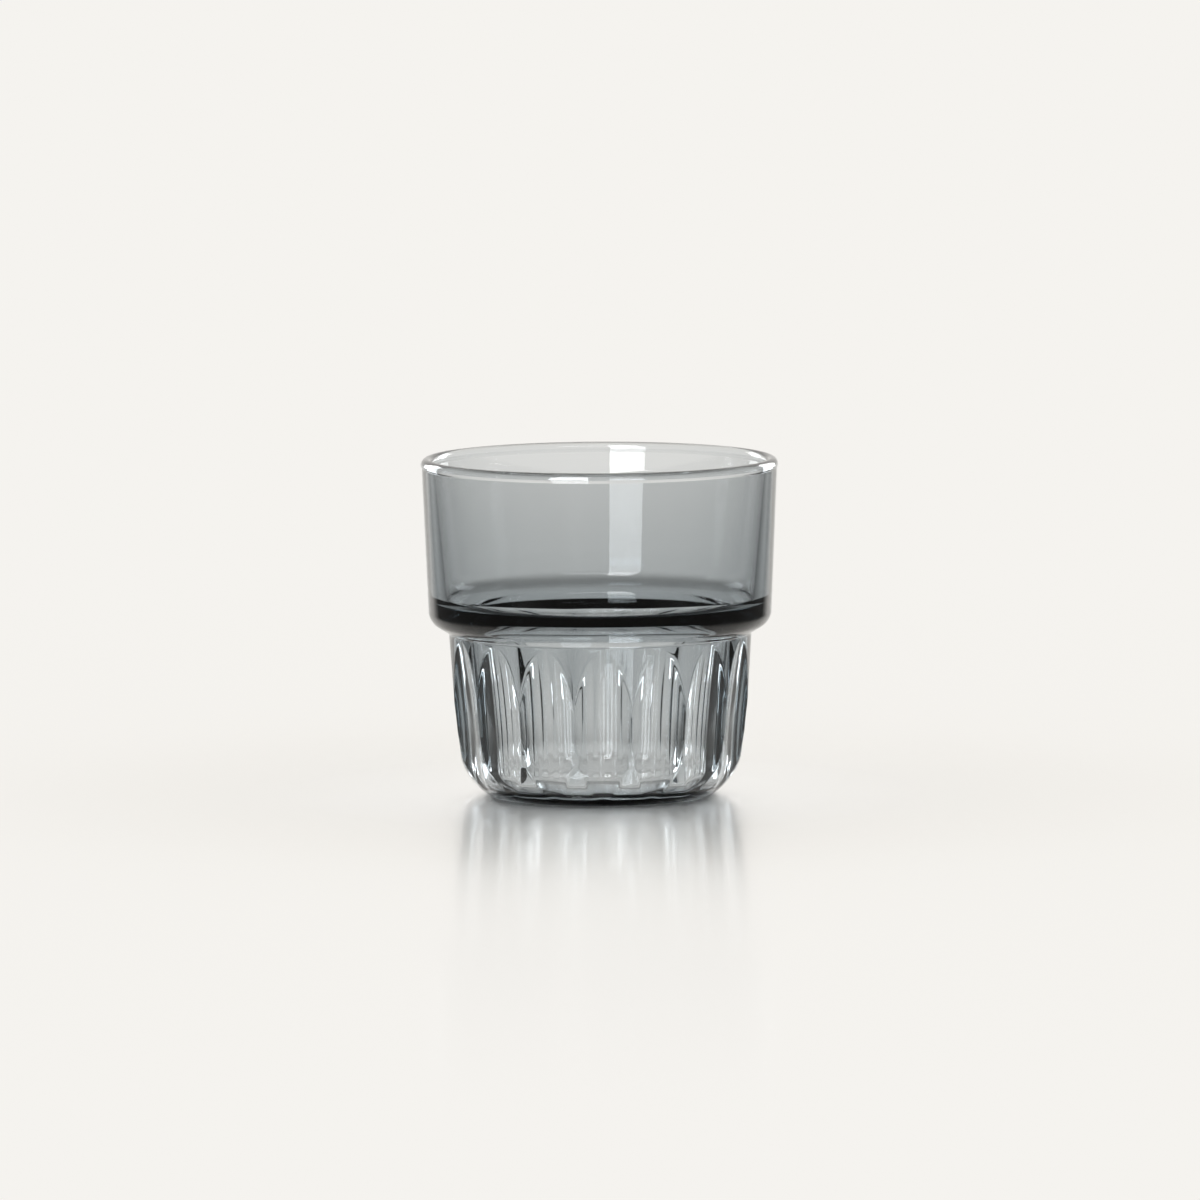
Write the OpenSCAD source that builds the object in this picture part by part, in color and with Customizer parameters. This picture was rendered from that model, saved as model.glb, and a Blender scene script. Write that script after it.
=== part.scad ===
// Stacking cortado glass, pressed in one piece of smoke-grey glass. A plain tapered band with
// a beaded rim stands on a narrower fluted foot. Outside, the band turns in under a rounded
// step; inside, a sloping shoulder lets the foot of the next glass sit down in this one.
// Lengths are in millimetres, angles in degrees. The origin is the centre of the base.

/* [Rim and band] */
// Full height
height = 74.7; // [70:0.1:80]
// Outer diameter over the rim bead
rim_d = 79; // [78:0.1:84]
// Thickness of the rim bead
bead_t = 2.8; // [2.6:0.1:3.4]
// Thickness of the wall just below the bead
rim_wall = 2.4; // [1.8:0.1:2.5]

/* [Step] */
// Height of the foot's top edge, where the step's underside meets it
neck_z = 35.9; // [33:0.1:38]
// Outer diameter of the foot at its top edge
neck_d = 67; // [65:0.1:69]
// How far the band's lower edge stands out from the foot's top edge
step_w = 4.35; // [3.5:0.05:5]
// Slope of the step's underside above the horizontal
step_slope = 32; // [22:1:40]
// Radius that rounds the lower edge of the band
step_round = 3.6; // [1:0.1:5]
// Radius of the fillet in the corner under the step
neck_fillet = 0.6; // [0.2:0.1:1]

/* [Foot] */
// Draft angle of the foot's side
foot_draft = 1.7; // [0.5:0.1:3]
// Diameter of the circle that touches the table
contact_d = 49.6; // [46:0.1:53]
// Slope of the heel above the horizontal, where it leaves the table
heel_slope = 30; // [20:1:40]
// Length of the heel's straight tangents, measured along the slope
heel_run = 5.94; // [5:0.01:7]
// Draft angle of the heel's upper tangent
heel_draft = 14; // [10:1:18]
// Radius that rounds the heel
heel_round = 14; // [8:0.1:14]
// Width of the flat ring on the table
contact_ring_w = 2.2; // [1:0.1:4]
// Height of the hollow under the base
push_up = 0.6; // [0.3:0.1:0.9]

/* [Flutes] */
// Number of flutes round the foot
flute_count = 16; // [12:1:20]
// Distance from the foot's top edge down to the top of each arch
arch_drop = 0.5; // [0.4:0.1:1]
// Radius of each flute's hollow section
flute_section_r = 16; // [14:1:20]
// Radius of the long curve that carries each flute up and out to its arch
flute_rise_r = 149; // [140:1:170]
// Angle of each flute to the vertical where that curve begins
flute_draft = 2.4; // [2:0.1:2.8]
// Radius of the bend that carries each flute in under the heel
flute_bend_r = 12.4; // [11:0.1:13]
// Height of the centre of that bend
flute_bend_z = 9.95; // [9.5:0.05:10.5]

/* [Inside] */
// Thickness of the wall at the top of the sloping shoulder
shoulder_wall = 3.9; // [3:0.1:5]
// Height of the top of the shoulder
shoulder_top_z = 43; // [42:0.1:46]
// How far the bottom of the shoulder stands in from the foot's top edge
shoulder_in = 4.1; // [3.5:0.1:5]
// Height of the bottom of the shoulder
shoulder_foot_z = 40.4; // [39.5:0.1:41.5]
// Radius in the corner at the top of the shoulder
shoulder_round = 3; // [1:0.1:5]
// Radius of the edge at the bottom of the shoulder
shoulder_edge = 1.5; // [0.5:0.1:3]
// How far the wall inside draws in from the shoulder to the floor
floor_in = 2.7; // [2:0.1:5]
// Height of the inside floor
floor_z = 2.4; // [2:0.1:6]
// Radius in the corner of the floor
floor_round = 5; // [3:0.1:7]

/* [Hidden] */
$fn = 128;
smoke_grey = [0.55, 0.59, 0.60, 0.6];

// The rim bead stands out from the wall by the same amount on both sides
bead_r = bead_t / 2;
bead_z = height - bead_r;
bead_bulge = (bead_t - rim_wall) / 2;
rim_r = rim_d / 2;
wall_outer_r = rim_r - bead_bulge;
wall_inner_r = wall_outer_r - rim_wall;

// The step's underside runs up and out from the foot's top edge to the band's side
neck_r = neck_d / 2;
band_foot_r = neck_r + step_w;
band_foot_z = neck_z + step_w * tan(step_slope);
band_taper = (wall_outer_r - band_foot_r) / (bead_z - band_foot_z);

// The foot's side falls from its top edge until the heel's upper tangent meets it
contact_r = contact_d / 2;
heel_r = contact_r + heel_run * cos(heel_slope);
heel_z = heel_run * sin(heel_slope);
neck_to_heel = neck_z - heel_z;
foot_taper = tan(foot_draft);
heel_taper = tan(heel_draft);
// Height above the heel corner where the two lines cross
side_rise = (neck_r - heel_r - neck_to_heel * foot_taper) / (heel_taper - foot_taper);
side_r = heel_r + side_rise * heel_taper;
side_z = heel_z + side_rise;

// The hollow under the base is a shallow cap of a ball
push_up_r = contact_r - contact_ring_w;
push_up_ball_r = (push_up_r * push_up_r + push_up * push_up) / (2 * push_up);

// Each flute's middle line meets the foot's side at the top of its arch. From there the long
// curve runs in and down to where the bend under the heel takes over.
arch_z = neck_z - arch_drop;
arch_r = neck_r - arch_drop * foot_taper;
rise_foot_z = flute_bend_z - flute_bend_r * sin(flute_draft);
arch_draft = asin(sin(flute_draft) + (arch_z - rise_foot_z) / flute_rise_r);
rise_out = flute_rise_r * (cos(flute_draft) - cos(arch_draft));
bend_x = arch_r - rise_out - flute_bend_r * cos(flute_draft);
// Angles by which the cutter is carried on past the arch, and round the bend to below the base
arch_overrun = 0.12;
flute_bend_end = 80;
// The cutter is a little wider than the ridges lie apart, and reaches well clear of the foot
flute_cut_w = 2.3 * neck_r * sin(180 / flute_count);
flute_cut_depth = 4;

// The inside keeps its distance from the band and the foot
shoulder_top_r = band_foot_r - shoulder_wall + (shoulder_top_z - band_foot_z) * band_taper;
shoulder_foot_r = neck_r - shoulder_in;
floor_r = shoulder_foot_r - floor_in;

// How far a rounding piece reaches past its corner
sliver_overrun = 0.4;

function unit(v) = v / norm(v);

// The sliver between a sharp corner and the arc that rounds it, the arc being a true circle.
// It reaches a little past the corner, so that it never ends right on the outline.
module corner_sliver(before, corner, after, radius) {
    to_before = unit(before - corner);
    to_after = unit(after - corner);
    inward = unit(to_before + to_after);
    half_angle = acos(to_before * to_after) / 2;
    reach = radius / tan(half_angle);
    centre = corner + inward * radius / sin(half_angle);
    difference() {
        polygon([corner - inward * sliver_overrun, corner + to_before * reach,
                 centre, corner + to_after * reach]);
        translate(centre) circle(r = radius);
    }
}

// Half section of the whole outside, as if the glass were solid, without bead or flutes
module outside_section() {
    axis_foot = [0, 0];
    contact = [contact_r, 0];
    heel = [heel_r, heel_z];
    side = [side_r, side_z];
    neck = [neck_r, neck_z];
    band_foot = [band_foot_r, band_foot_z];
    band_top = [wall_outer_r, bead_z];
    axis_top = [0, bead_z];
    difference() {
        union() {
            polygon([axis_foot, contact, heel, side, neck, band_foot, band_top, axis_top]);
            corner_sliver(side, neck, band_foot, neck_fillet);
        }
        corner_sliver(contact, heel, side, heel_round);
        corner_sliver(neck, band_foot, band_top, step_round);
    }
}

// Half section of the space inside, open at the top
module inside_section() {
    floor_centre = [0, floor_z];
    floor_corner = [floor_r, floor_z];
    shoulder_foot = [shoulder_foot_r, shoulder_foot_z];
    shoulder_top = [shoulder_top_r, shoulder_top_z];
    mouth = [wall_inner_r, bead_z];
    mouth_centre = [0, bead_z];
    difference() {
        union() {
            polygon([floor_centre, floor_corner, shoulder_foot, shoulder_top, mouth, mouth_centre]);
            corner_sliver(floor_corner, shoulder_foot, shoulder_top, shoulder_edge);
        }
        corner_sliver(floor_centre, floor_corner, shoulder_foot, floor_round);
        corner_sliver(shoulder_foot, shoulder_top, mouth, shoulder_round);
    }
}

// Half section of the glass itself, with the bead on the rim
module wall_section() {
    difference() {
        outside_section();
        inside_section();
    }
    translate([rim_r - bead_r, bead_z]) circle(r = bead_r);
}

// Section of a flute's cutter, hollowing the foot from the origin outwards
module flute_section() {
    intersection() {
        translate([flute_section_r, 0]) circle(r = flute_section_r);
        translate([0, -flute_cut_w / 2]) square([flute_cut_depth, flute_cut_w]);
    }
}

// Cutter for one flute: the long curve up to its arch and the bend in under the heel
module flute_cutter() {
    translate([bend_x, 0, flute_bend_z]) rotate([0, flute_draft, 0]) {
        translate([flute_bend_r + flute_rise_r, 0, 0])
            mirror([1, 0, 0]) rotate([90, 0, 0])
                rotate_extrude(angle = arch_draft - flute_draft + arch_overrun)
                    translate([flute_rise_r, 0]) mirror([1, 0]) flute_section();
        rotate([-90, 0, 0])
            rotate_extrude(angle = flute_bend_end - flute_draft)
                translate([flute_bend_r, 0]) flute_section();
    }
}

// The whole glass
module glass_body() {
    color(smoke_grey) difference() {
        rotate_extrude() wall_section();
        translate([0, 0, push_up - push_up_ball_r]) sphere(r = push_up_ball_r);
        for (i = [0 : flute_count - 1])
            rotate([0, 0, i * 360 / flute_count]) flute_cutter();
    }
}

glass_body();
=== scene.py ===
import math

import bmesh
import bpy
from mathutils import Matrix, Quaternion, Vector


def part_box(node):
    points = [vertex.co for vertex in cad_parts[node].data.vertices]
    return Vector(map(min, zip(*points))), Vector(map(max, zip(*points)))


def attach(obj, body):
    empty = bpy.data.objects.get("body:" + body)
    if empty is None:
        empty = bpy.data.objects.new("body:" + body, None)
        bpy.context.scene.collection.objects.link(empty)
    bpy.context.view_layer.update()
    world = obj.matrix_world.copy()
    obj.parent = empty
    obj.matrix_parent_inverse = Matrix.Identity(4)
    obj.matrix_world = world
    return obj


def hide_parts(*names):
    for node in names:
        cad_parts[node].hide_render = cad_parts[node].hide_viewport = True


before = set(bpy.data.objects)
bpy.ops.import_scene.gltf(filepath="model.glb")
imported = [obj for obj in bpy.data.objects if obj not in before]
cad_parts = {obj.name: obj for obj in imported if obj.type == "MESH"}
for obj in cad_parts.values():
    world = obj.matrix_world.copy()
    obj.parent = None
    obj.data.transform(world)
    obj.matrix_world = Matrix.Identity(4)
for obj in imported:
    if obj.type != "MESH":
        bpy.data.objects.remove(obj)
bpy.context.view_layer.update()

# Glass body: the whole drinking glass, pressed in one piece of smoke-grey glass and then
# fire-polished, so every edge is a little rounded. A beaded rim and a plain tapered band stand
# on a narrower foot, whose hollow flutes end in arches under the step.
MM = 0.001
lowest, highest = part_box("glass_body")
height = highest.z - lowest.z
rim_r = (highest.x - lowest.x) / 2

bead_r = 1.4 * MM
rim_wall = 2.4 * MM
band_foot_r = 37.85 * MM
step_slope = math.radians(32)
step_round = 3.6 * MM
neck_r = 33.5 * MM
neck_z = 35.9 * MM
neck_fillet = 0.6 * MM
foot_draft = math.radians(1.7)
contact_r = 24.8 * MM
heel_slope = math.radians(30)
heel_run = 5.94 * MM
heel_draft = math.radians(14)
heel_round = 14 * MM
contact_ring_w = 2.2 * MM
push_up = 0.6 * MM
contact_round = 0.4 * MM

shoulder_top_r = 34.13 * MM
shoulder_top_z = 43.0 * MM
shoulder_round = 3 * MM
shoulder_foot_r = 29.4 * MM
shoulder_foot_z = 40.4 * MM
shoulder_edge = 1.5 * MM
floor_r = 26.7 * MM
floor_z = 2.4 * MM
floor_round = 5 * MM

flute_count = 16
half_pitch = math.pi / flute_count
arch_drop = 0.5 * MM
flute_section_r = 16 * MM
flute_rise_r = 149 * MM
flute_draft = math.radians(2.4)
flute_bend_r = 12.4 * MM
flute_bend_z = 9.95 * MM
edge_softness = 0.12 * MM

columns_per_flute = 36
bead_steps = 20
row_step = 0.9 * MM
flat_margin = 0.12 * MM
merge_distance = 0.002 * MM

# Sizes that follow from those above. The wall runs into the bead a little below its widest.
bead_z = height - bead_r
bead_centre_r = rim_r - bead_r
bead_root = math.acos((rim_wall / 2) / bead_r)
bead_root_z = bead_z - bead_r * math.sin(bead_root)
wall_outer_r = bead_centre_r + rim_wall / 2
wall_inner_r = bead_centre_r - rim_wall / 2
band_foot_z = neck_z + (band_foot_r - neck_r) * math.tan(step_slope)
push_up_r = contact_r - contact_ring_w
heel_r = contact_r + heel_run * math.cos(heel_slope)
heel_z = heel_run * math.sin(heel_slope)
side_rise = ((neck_r - heel_r - (neck_z - heel_z) * math.tan(foot_draft))
             / (math.tan(heel_draft) - math.tan(foot_draft)))
side_r = heel_r + side_rise * math.tan(heel_draft)
side_z = heel_z + side_rise
arch_z = neck_z - arch_drop
arch_r = neck_r - arch_drop * math.tan(foot_draft)
# Each flute's middle line climbs from its bend in under the heel, on a long curve to its arch
rise_foot_z = flute_bend_z - flute_bend_r * math.sin(flute_draft)
arch_draft = math.asin(math.sin(flute_draft) + (arch_z - rise_foot_z) / flute_rise_r)
rise_out = flute_rise_r * (math.cos(flute_draft) - math.cos(arch_draft))
bend_x = arch_r - rise_out - flute_bend_r * math.cos(flute_draft)
rise_x = arch_r + flute_rise_r * math.cos(arch_draft)
rise_z = rise_foot_z - flute_rise_r * math.sin(flute_draft)


def rounded_line(bm, corners):
    """Draws a line through corners of (radius, height, rounding, segments) and rounds them."""
    verts = [bm.verts.new((corner[0], 0, corner[1])) for corner in corners]
    for pair in zip(verts, verts[1:]):
        bm.edges.new(pair)
    for vert, (r, z, rounding, segments) in zip(verts, corners):
        if rounding:
            arms = [edge.other_vert(vert).co - vert.co for edge in vert.link_edges]
            turn = math.pi - arms[0].angle(arms[1])
            bmesh.ops.bevel(bm, geom=[vert], affect="VERTICES", offset_type="OFFSET",
                            offset=rounding * math.tan(turn / 2), segments=segments,
                            profile=0.5, material=-1)


def hold_ends(bm, margin):
    """Adds a row close to both ends of each long stretch, so that it shades flat up to there."""
    long_stretch = 6 * margin
    for edge in [edge for edge in bm.edges if edge.calc_length() > long_stretch]:
        near, far = edge.verts
        share = margin / edge.calc_length()
        halves = (edge, bmesh.utils.edge_split(edge, near, share)[0])
        rest = max(halves, key=lambda half: half.calc_length())
        bmesh.utils.edge_split(rest, far, margin / rest.calc_length())


def divide(bm, low, high, step):
    """Cuts the line's stretches between two heights into rows about one step apart."""
    for edge in list(bm.edges):
        rise = abs(edge.verts[0].co.z - edge.verts[1].co.z)
        middle = (edge.verts[0].co.z + edge.verts[1].co.z) / 2
        if low < middle < high and rise > step:
            bmesh.ops.subdivide_edges(bm, edges=[edge], cuts=int(rise / step))


def turn_round(bm):
    """Turns the line through the width of one flute, which lies either side of the X axis."""
    bmesh.ops.rotate(bm, verts=bm.verts[:], cent=(0, 0, 0),
                     matrix=Matrix.Rotation(-half_pitch, 3, "Z"))
    bmesh.ops.spin(bm, geom=bm.verts[:] + bm.edges[:], cent=(0, 0, 0), axis=(0, 0, 1),
                   angle=2 * half_pitch, steps=columns_per_flute, use_merge=False,
                   dvec=(0, 0, 0))


def hollow_r(angle, z):
    """Radius of the flute's hollow surface at an angle from its middle line."""
    r = neck_r
    closing_in = 5
    for _ in range(closing_in):
        across = r * math.sin(angle)
        away = flute_section_r - math.sqrt(flute_section_r ** 2 - across ** 2)
        if z > rise_foot_z:
            x = rise_x - math.sqrt((flute_rise_r - away) ** 2 - (z - rise_z) ** 2)
        else:
            x = bend_x + math.sqrt((flute_bend_r + away) ** 2 - (z - flute_bend_z) ** 2)
        r = x / math.cos(angle)
    return r


def edge_angle(r, z):
    """Angle from the flute's middle line at which its hollow meets a foot of this radius."""
    low, high = 0.0, half_pitch
    halvings = 24
    for _ in range(halvings):
        middle = (low + high) / 2
        if hollow_r(middle, z) < r:
            low = middle
        else:
            high = middle
    return low


def soft_min(a, b):
    """The smaller of two radii, with the crease between them rounded."""
    blend = max(edge_softness - abs(a - b), 0) / edge_softness
    return min(a, b) - blend * blend * edge_softness / 4


outside = bmesh.new()
rounded_line(outside, [
    (0, push_up, 0, 0),
    (push_up_r, 0, contact_round, 3),
    (contact_r, 0, contact_round, 4),
    (heel_r, heel_z, heel_round, 18),
    (side_r, side_z, 0, 0),
    (neck_r, neck_z, neck_fillet, 5),
    (band_foot_r, band_foot_z, step_round, 14),
    (wall_outer_r, bead_root_z, 0, 0),
])
hold_ends(outside, flat_margin)
divide(outside, side_z, arch_z, row_step)
turn_round(outside)

# The hollow is pressed in. The columns of the mesh slide round towards the hollow's edges,
# so that the edges follow the mesh. Shares are parts of the way from the flute's middle line to
# the middle of the ridge.
hollow_share = 0.7
narrowest_share, widest_share = 0.1, 0.96
pressed_to_z = arch_z + 0.3 * MM
for vert in outside.verts:
    r, z = math.hypot(vert.co.x, vert.co.y), vert.co.z
    if r < push_up_r or z > band_foot_z:
        continue
    offset = math.atan2(vert.co.y, vert.co.x) / half_pitch
    edge = edge_angle(r, min(z, arch_z)) / half_pitch
    edge = min(max(edge, narrowest_share), widest_share)
    above_arch = min(max((z - arch_z) / (band_foot_z - arch_z), 0), 1)
    edge = edge + (hollow_share - edge) * above_arch
    share = abs(offset)
    if share < hollow_share:
        share = edge * share / hollow_share
    else:
        share = edge + (1 - edge) * (share - hollow_share) / (1 - hollow_share)
    angle = math.copysign(share * half_pitch, offset)
    if z < pressed_to_z:
        r = soft_min(r, hollow_r(angle, z))
    vert.co = Vector((r * math.cos(angle), r * math.sin(angle), z))

inside = bmesh.new()
rounded_line(inside, [
    (0, floor_z, 0, 0),
    (floor_r, floor_z, floor_round, 12),
    (shoulder_foot_r, shoulder_foot_z, shoulder_edge, 8),
    (shoulder_top_r, shoulder_top_z, shoulder_round, 10),
    (wall_inner_r, bead_root_z, 0, 0),
])
hold_ends(inside, flat_margin)
# The bead is turned over from the top of the inside to the top of the outside
mouth = max(inside.verts, key=lambda vert: vert.co.z)
bmesh.ops.spin(inside, geom=[mouth], cent=(bead_centre_r, 0, bead_z), axis=(0, 1, 0),
               angle=math.pi + 2 * bead_root, steps=bead_steps, use_merge=False,
               dvec=(0, 0, 0))
turn_round(inside)

# Both shells of one flute's width are joined, and turned round the glass
glass_mesh = bpy.data.meshes.new("glass")
glass = bmesh.new()
for shell in (outside, inside):
    shell_mesh = bpy.data.meshes.new("shell")
    shell.to_mesh(shell_mesh)
    shell.free()
    glass.from_mesh(shell_mesh)
    bpy.data.meshes.remove(shell_mesh)
bmesh.ops.spin(glass, geom=glass.verts[:] + glass.edges[:] + glass.faces[:], cent=(0, 0, 0),
               axis=(0, 0, 1), angle=2 * math.pi, steps=flute_count, use_duplicate=True,
               dvec=(0, 0, 0))
bmesh.ops.remove_doubles(glass, verts=glass.verts[:], dist=merge_distance)
bmesh.ops.recalc_face_normals(glass, faces=glass.faces[:])
for face in glass.faces:
    face.smooth = True
glass.to_mesh(glass_mesh)
glass.free()
glass_body = bpy.data.objects.new("glass_body_polished", glass_mesh)
bpy.context.scene.collection.objects.link(glass_body)

# The tint lies in the glass itself, so thin walls are lighter than thick ones
smoked_glass = bpy.data.materials.new("smoked_glass")
smoked_glass.use_nodes = True
tree = smoked_glass.node_tree
shader = tree.nodes["Principled BSDF"]
shader.inputs["Base Color"].default_value = (1, 1, 1, 1)
shader.inputs["Roughness"].default_value = 0.0
shader.inputs["IOR"].default_value = 1.52
shader.inputs["Transmission Weight"].default_value = 1.0
tint = tree.nodes.new("ShaderNodeVolumeAbsorption")
tint.inputs["Color"].default_value = (0.28, 0.355, 0.395, 1)
tint.inputs["Density"].default_value = 135
tree.links.new(tint.outputs["Volume"], tree.nodes["Material Output"].inputs["Volume"])
glass_mesh.materials.append(smoked_glass)
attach(glass_body, "root")
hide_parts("glass_body")

# Floor: a pale, glossy table top of coated board that runs back out of sight. Near the glass it
# mirrors it and takes its shadow, and further out it shows as its own colour, evenly lit. Its
# sides and front carry painted shade: they are dark for what the glass mirrors or bends often.
backdrop_colour = (0.913, 0.896, 0.863, 1)
# Painted shade: this dark colour stands on the floor's sides and front in what the glass mirrors
# or bends often
painted_shade_colour = (0.05, 0.05, 0.05, 1)
half_floor = 30
board_roughness = 0.14
gloss_roughness = 0.28
# Curves over the distance from the glass, as a part of the reach: (distance, strength)
reach = 0.5
even_stops = [(0.16, 0.0), (0.24, 0.5), (0.31, 0.77), (0.39, 0.86),
              (0.5, 0.91), (0.8, 0.95), (1.0, 1.0)]
gloss_stops = [(0.05, 1.0), (0.09, 0.9), (0.14, 0.5), (0.24, 0.12), (0.4, 0.0)]
# The floor is painted as lit in a strip that widens away from the glass and ends a little in
# front of it; outside it lies painted shade
strip_widening = 0.5
strip_edge = (0.05, 0.12)
front_edge = (-0.06, -0.14)
# A mirroring counts as this many bends, so all that is mirrored passes the limit
bends_per_mirroring = 5
bends_limit = 4.5


def work_out(tree, operation, *values):
    """Adds a Math node that takes numbers or other nodes' outputs, and returns its output."""
    node = tree.nodes.new("ShaderNodeMath")
    node.operation = operation
    for socket, value in zip(node.inputs, values):
        if isinstance(value, bpy.types.NodeSocket):
            tree.links.new(value, socket)
        else:
            socket.default_value = value
    return node.outputs["Value"]


def rise_between(tree, value, start, end):
    """Adds a Map Range node that goes from 0 to 1 as the value goes from start to end."""
    node = tree.nodes.new("ShaderNodeMapRange")
    node.inputs["From Min"].default_value = start
    node.inputs["From Max"].default_value = end
    tree.links.new(value, node.inputs["Value"])
    return node.outputs["Result"]


def smooth_curve(tree, value, stops):
    """Adds a Color Ramp node that turns a value into a strength, on a smooth curve of stops."""
    node = tree.nodes.new("ShaderNodeValToRGB")
    node.color_ramp.interpolation = "B_SPLINE"
    elements = node.color_ramp.elements
    while len(elements) < len(stops):
        elements.new(0.5)
    for element, (position, strength) in zip(elements, stops):
        element.position = position
        element.color = (strength, strength, strength, 1)
    tree.links.new(value, node.inputs["Fac"])
    return node.outputs["Color"]


def dark_where_unlit(tree, bends, unlit, dark_colour):
    """The backdrop's colour, darkened in the unlit parts for light that was bent often."""
    often_bent = work_out(tree, "GREATER_THAN", bends, bends_limit)
    mix = tree.nodes.new("ShaderNodeMix")
    mix.data_type = "RGBA"
    mix.inputs["A"].default_value = backdrop_colour
    mix.inputs["B"].default_value = dark_colour
    tree.links.new(work_out(tree, "MULTIPLY", often_bent, unlit), mix.inputs["Factor"])
    return mix.outputs["Result"]


def mix_shaders(tree, share, first, second):
    """Adds a Mix Shader node and returns its output."""
    node = tree.nodes.new("ShaderNodeMixShader")
    tree.links.new(share, node.inputs["Fac"])
    tree.links.new(first, node.inputs[1])
    tree.links.new(second, node.inputs[2])
    return node.outputs["Shader"]


floor_mesh = bpy.data.meshes.new("floor")
floor_bm = bmesh.new()
bmesh.ops.create_grid(floor_bm, x_segments=1, y_segments=1, size=half_floor)
floor_bm.to_mesh(floor_mesh)
floor_bm.free()
floor = bpy.data.objects.new("floor", floor_mesh)
bpy.context.scene.collection.objects.link(floor)

pale_top = bpy.data.materials.new("pale_top")
pale_top.use_nodes = True
tree = pale_top.node_tree
shader = tree.nodes["Principled BSDF"]
shader.inputs["Base Color"].default_value = backdrop_colour
shader.inputs["Roughness"].default_value = board_roughness
gloss = tree.nodes.new("ShaderNodeBsdfGlossy")
gloss.inputs["Color"].default_value = (1, 1, 1, 1)
gloss.inputs["Roughness"].default_value = gloss_roughness
even = tree.nodes.new("ShaderNodeEmission")

place = tree.nodes.new("ShaderNodeTexCoord")
distance = tree.nodes.new("ShaderNodeVectorMath")
distance.operation = "LENGTH"
tree.links.new(place.outputs["Object"], distance.inputs[0])
away = rise_between(tree, distance.outputs["Value"], 0.0, reach)
axes = tree.nodes.new("ShaderNodeSeparateXYZ")
tree.links.new(place.outputs["Object"], axes.inputs["Vector"])
forward = work_out(tree, "ABSOLUTE", axes.outputs["Y"])
sideways = work_out(tree, "ABSOLUTE", axes.outputs["X"])
beside = work_out(tree, "MULTIPLY_ADD", forward, -strip_widening, sideways)
unlit = work_out(tree, "MAXIMUM", rise_between(tree, beside, *strip_edge),
                 rise_between(tree, axes.outputs["Y"], *front_edge))

path = tree.nodes.new("ShaderNodeLightPath")
bent = work_out(tree, "MAXIMUM", path.outputs["Is Glossy Ray"],
                path.outputs["Is Transmission Ray"])
seen = work_out(tree, "MAXIMUM", path.outputs["Is Camera Ray"], bent)
bends = work_out(tree, "MULTIPLY_ADD", path.outputs["Glossy Depth"], bends_per_mirroring,
                 path.outputs["Ray Depth"])
# The floor's even colour, with painted shade on its sides and front for what is mirrored or bent
# often
tree.links.new(dark_where_unlit(tree, bends, unlit, painted_shade_colour), even.inputs["Color"])

even_share = work_out(tree, "MULTIPLY", seen, smooth_curve(tree, away, even_stops))
board = mix_shaders(tree, even_share, shader.outputs["BSDF"], even.outputs["Emission"])
surface = mix_shaders(tree, smooth_curve(tree, away, gloss_stops), board, gloss.outputs["BSDF"])
tree.links.new(surface, tree.nodes["Material Output"].inputs["Surface"])
floor_mesh.materials.append(pale_top)

# Studio: soft light all round, from a pale backdrop that also shows straight through the glass.
# What the glass bends many times over, or both lets through and mirrors inside, comes from the
# unlit ceiling, sides and front of the studio.
studio_black = (0.02, 0.02, 0.02, 1)
side_edge = (math.radians(29), math.radians(39))
ceiling_edge = (math.sin(math.radians(38)), math.sin(math.radians(46)))
world = bpy.data.worlds.new("studio")
world.use_nodes = True
bpy.context.scene.world = world
tree = world.node_tree
direction = tree.nodes.new("ShaderNodeTexCoord")
axes = tree.nodes.new("ShaderNodeSeparateXYZ")
tree.links.new(direction.outputs["Generated"], axes.inputs["Vector"])
turned = work_out(tree, "ARCTAN2", axes.outputs["X"], axes.outputs["Y"])
off_back = work_out(tree, "ABSOLUTE", turned)
unlit = work_out(tree, "MAXIMUM", rise_between(tree, off_back, *side_edge),
                 rise_between(tree, axes.outputs["Z"], *ceiling_edge))
path = tree.nodes.new("ShaderNodeLightPath")
bends = work_out(tree, "MULTIPLY_ADD", path.outputs["Glossy Depth"],
                 path.outputs["Transmission Depth"], path.outputs["Ray Depth"])
background = tree.nodes["Background"]
background.inputs["Strength"].default_value = 1.0
tree.links.new(dark_where_unlit(tree, bends, unlit, studio_black), background.inputs["Color"])

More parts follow.
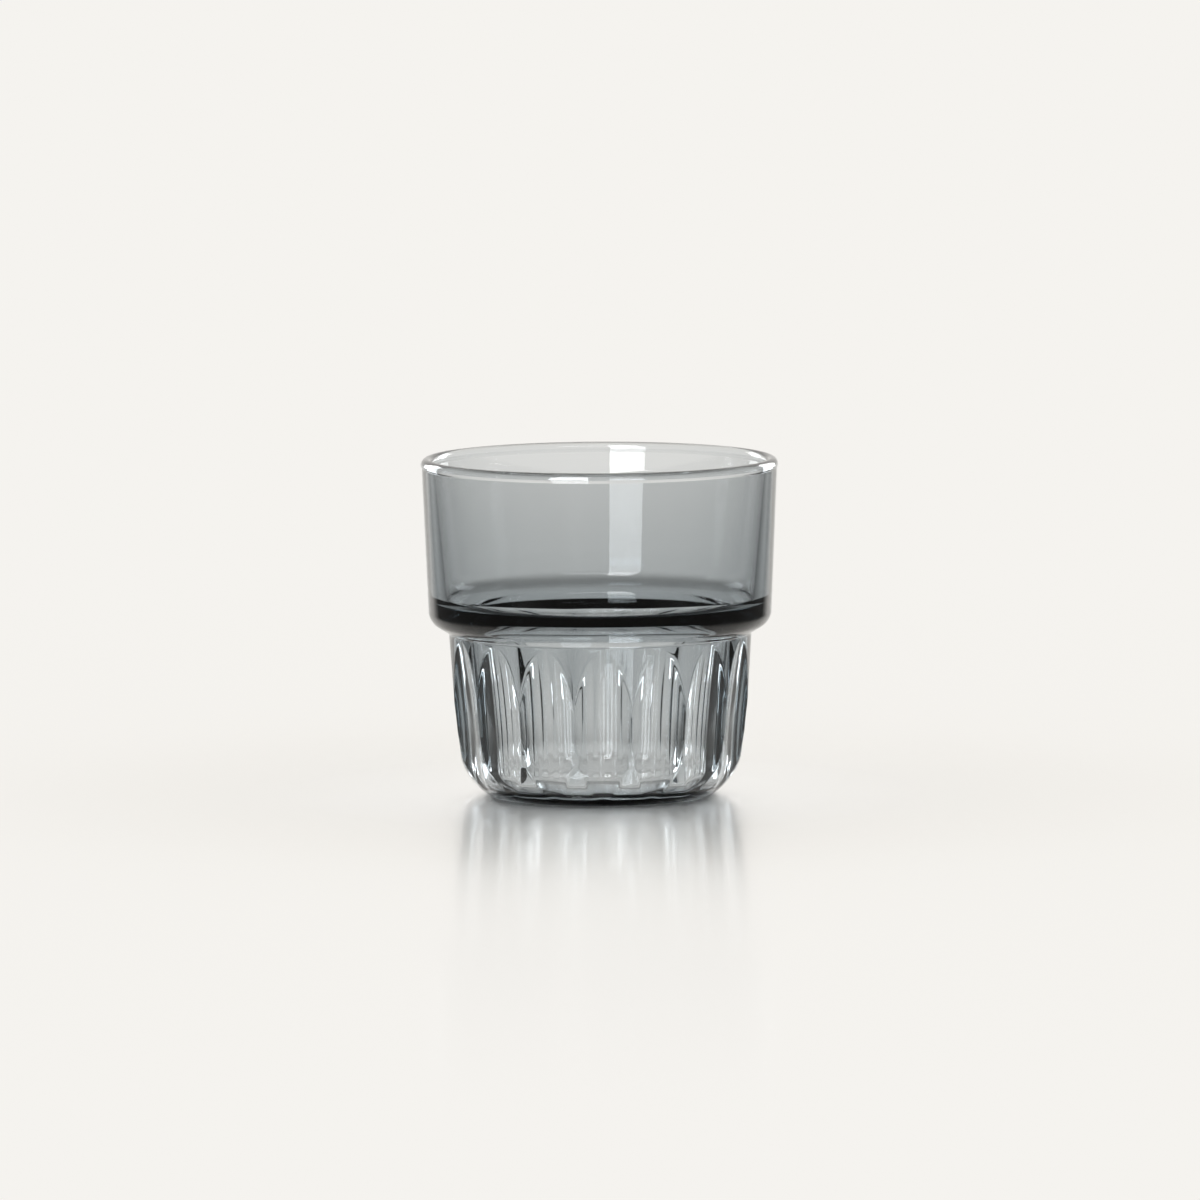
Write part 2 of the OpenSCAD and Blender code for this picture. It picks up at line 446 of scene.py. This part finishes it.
# Lamps: a tall softbox in front on the left, which draws a bright strip down the band, a broad
# one high up in front, and a low panel on each side behind the glass, which lights the edges of
# its flutes. They light the glass alone, and none of them shows in the picture itself.
lit_by_softboxes = bpy.data.collections.new("lit_by_softboxes")
lit_by_softboxes.objects.link(glass_body)
softboxes = [("tall_softbox", -21, 0.76, 0.0, 0.34, 1.2, 11.4),
             ("broad_softbox", 0, 1.04, 0.76, 1.3, 0.5, 5.0),
             ("left_panel", 215, 0.9, 0.0, 0.3, 0.5, 1.9),
             ("right_panel", 145, 0.9, 0.0, 0.3, 0.5, 1.9)]
for name, azimuth, away, foot, width, tall, watts in softboxes:
    lamp = bpy.data.lights.new(name, "AREA")
    lamp.shape = "RECTANGLE"
    lamp.size = width
    lamp.size_y = tall
    lamp.energy = watts
    softbox = bpy.data.objects.new(name, lamp)
    bpy.context.scene.collection.objects.link(softbox)
    turn = math.radians(azimuth)
    softbox.location = (away * math.sin(turn), -away * math.cos(turn), foot + tall / 2)
    softbox.rotation_euler = (math.radians(90), 0, turn)
    softbox.visible_camera = False
    softbox.visible_diffuse = False
    softbox.light_linking.receiver_collection = lit_by_softboxes

# Camera: a long lens a little above the rim, as in the photograph. It stands a little to the
# left, aims at the axis of the glass and is rolled by a quarter of a degree.
photo_px = 1200
px_per_metre = 4520
camera_away = 2.94
camera_z = 0.347
camera_turn = math.radians(-1)
camera_roll = math.radians(0.27)
target = Vector((0, 0, 0.043))
sensor_mm = 36
camera_data = bpy.data.cameras.new("camera")
camera = bpy.data.objects.new("camera", camera_data)
bpy.context.scene.collection.objects.link(camera)
bpy.context.scene.camera = camera
camera.location = (camera_away * math.sin(camera_turn), -camera_away * math.cos(camera_turn),
                   camera_z)
aim = target - camera.location
camera.rotation_mode = "QUATERNION"
camera.rotation_quaternion = (aim.to_track_quat("-Z", "Y")
                              @ Quaternion((0, 0, 1), -camera_roll))
camera_data.sensor_width = sensor_mm
camera_data.lens = sensor_mm * px_per_metre * aim.length / photo_px
camera_data.clip_end = 100

bpy.context.scene.view_settings.view_transform = "Standard"
